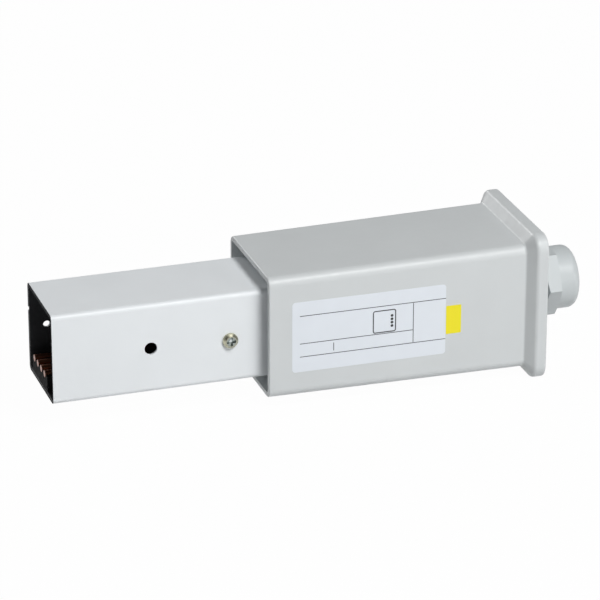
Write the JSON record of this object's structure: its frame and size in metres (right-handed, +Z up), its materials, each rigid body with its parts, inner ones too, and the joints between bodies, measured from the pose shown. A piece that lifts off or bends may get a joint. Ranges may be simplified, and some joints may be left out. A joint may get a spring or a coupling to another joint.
{
  "type": "busway end feed unit",
  "caption": "End feed unit for small busway: open square trunking stub with copper conductors, moulded cover box with flared flange, terminals inside and a cable gland.",
  "frame": {"origin": "centre of the trunking tube's open end", "axes": "+X along the run from the open end to the cable gland, +Z up, -Y towards the face with the tube's screw"},
  "size_m": [0.2744, 0.0762, 0.0762],
  "materials": {
    "white_paint": "smooth powder coat, semi-gloss",
    "black_plastic": "extruded and moulded insulation",
    "copper": "bare drawn copper",
    "cover_grey": "fine-textured light grey moulding",
    "gland_grey": "smooth light grey polyamide",
    "seal_rubber": "soft black rubber",
    "yellow_zinc": "yellow passivated zinc plate",
    "bright_zinc": "bright zinc plate",
    "terminal_grey": "moulded terminal body",
    "terminal_brass": "nickel-free brass",
    "label_film": "printed bluish white film, semi-gloss",
    "yellow_film": "plain yellow film, semi-gloss"
  },
  "bodies": {
    "base": {"trunking_tube": "white_paint", "tube_liner": "black_plastic", "conductor_carrier": "black_plastic", "busbar_support": "black_plastic", "tube_flange": "bright_zinc", "tube_seal": "seal_rubber", "tube_screw": "yellow_zinc", "tube_screw_nut": "bright_zinc", "cover": "cover_grey", "cover_screws": "bright_zinc", "terminal_bracket": "bright_zinc", "terminal_housing": "terminal_grey", "bracket_screws": "bright_zinc", "housing_screws": "bright_zinc", "earth_bar": "terminal_brass", "earth_screw": "bright_zinc", "earth_nut": "bright_zinc", "busbar_1": "copper", "busbar_2": "copper", "busbar_3": "copper", "busbar_4": "copper"},
    "lid": {"end_plate": "cover_grey", "end_plate_gasket": "seal_rubber", "end_plate_screws": "bright_zinc", "gland_body": "gland_grey", "gland_washer": "seal_rubber", "gland_locknut": "gland_grey"},
    "gland_sleeve": {"gland_insert": "seal_rubber"},
    "gland_cap": {"gland_nut": "gland_grey"},
    "screw_1": {"terminal_screw_1": "bright_zinc"},
    "clamp_1": {"terminal_clamp_1": "terminal_brass"},
    "screw_2": {"terminal_screw_2": "bright_zinc"},
    "clamp_2": {"terminal_clamp_2": "terminal_brass"},
    "screw_3": {"terminal_screw_3": "bright_zinc"},
    "clamp_3": {"terminal_clamp_3": "terminal_brass"},
    "screw_4": {"terminal_screw_4": "bright_zinc"},
    "clamp_4": {"terminal_clamp_4": "terminal_brass"},
    "screw_5": {"terminal_screw_5": "bright_zinc"},
    "clamp_5": {"terminal_clamp_5": "terminal_brass"}
  },
  "joints": [
    {"name": "lid_lift_off", "type": "slide", "parent": "base", "child": "lid", "axis": [1, 0, 0], "range_m": [0, 0.06]},
    {"name": "gland_sleeve_travel", "type": "slide", "parent": "lid", "child": "gland_sleeve", "axis": [1, 0, 0], "range_m": [-0.0015, 0.006]},
    {"name": "gland_cap_turn", "type": "hinge", "parent": "gland_sleeve", "child": "gland_cap", "pos_m": [0.266, 0, 0], "axis": [1, 0, 0], "range_deg": [-360, 1440]},
    {"name": "screw_1_turn", "type": "hinge", "parent": "base", "child": "screw_1", "pos_m": [0.168, -0.013, 0.0008], "axis": [-1, 0, 0], "range_deg": [0, 2880]},
    {"name": "clamp_1_travel", "type": "slide", "parent": "base", "child": "clamp_1", "axis": [1, 0, 0], "range_m": [0, 0.004]},
    {"name": "screw_2_turn", "type": "hinge", "parent": "base", "child": "screw_2", "pos_m": [0.168, -0.0065, 0.0008], "axis": [-1, 0, 0], "range_deg": [0, 2880]},
    {"name": "clamp_2_travel", "type": "slide", "parent": "base", "child": "clamp_2", "axis": [1, 0, 0], "range_m": [0, 0.004]},
    {"name": "screw_3_turn", "type": "hinge", "parent": "base", "child": "screw_3", "pos_m": [0.168, 0, 0.0008], "axis": [-1, 0, 0], "range_deg": [0, 2880]},
    {"name": "clamp_3_travel", "type": "slide", "parent": "base", "child": "clamp_3", "axis": [1, 0, 0], "range_m": [0, 0.004]},
    {"name": "screw_4_turn", "type": "hinge", "parent": "base", "child": "screw_4", "pos_m": [0.168, 0.0065, 0.0008], "axis": [-1, 0, 0], "range_deg": [0, 2880]},
    {"name": "clamp_4_travel", "type": "slide", "parent": "base", "child": "clamp_4", "axis": [1, 0, 0], "range_m": [0, 0.004]},
    {"name": "screw_5_turn", "type": "hinge", "parent": "base", "child": "screw_5", "pos_m": [0.168, 0.013, 0.0008], "axis": [-1, 0, 0], "range_deg": [0, 2880]},
    {"name": "clamp_5_travel", "type": "slide", "parent": "base", "child": "clamp_5", "axis": [1, 0, 0], "range_m": [0, 0.004]}
  ],
  "couplings": [
    {"joint": "gland_sleeve_travel", "follows": "gland_cap_turn", "m_per_rad": 0.00023873},
    {"joint": "screw_1_turn", "follows": "clamp_1_travel", "rad_per_m": 12566},
    {"joint": "screw_2_turn", "follows": "clamp_2_travel", "rad_per_m": 12566},
    {"joint": "screw_3_turn", "follows": "clamp_3_travel", "rad_per_m": 12566},
    {"joint": "screw_4_turn", "follows": "clamp_4_travel", "rad_per_m": 12566},
    {"joint": "screw_5_turn", "follows": "clamp_5_travel", "rad_per_m": 12566}
  ]
}
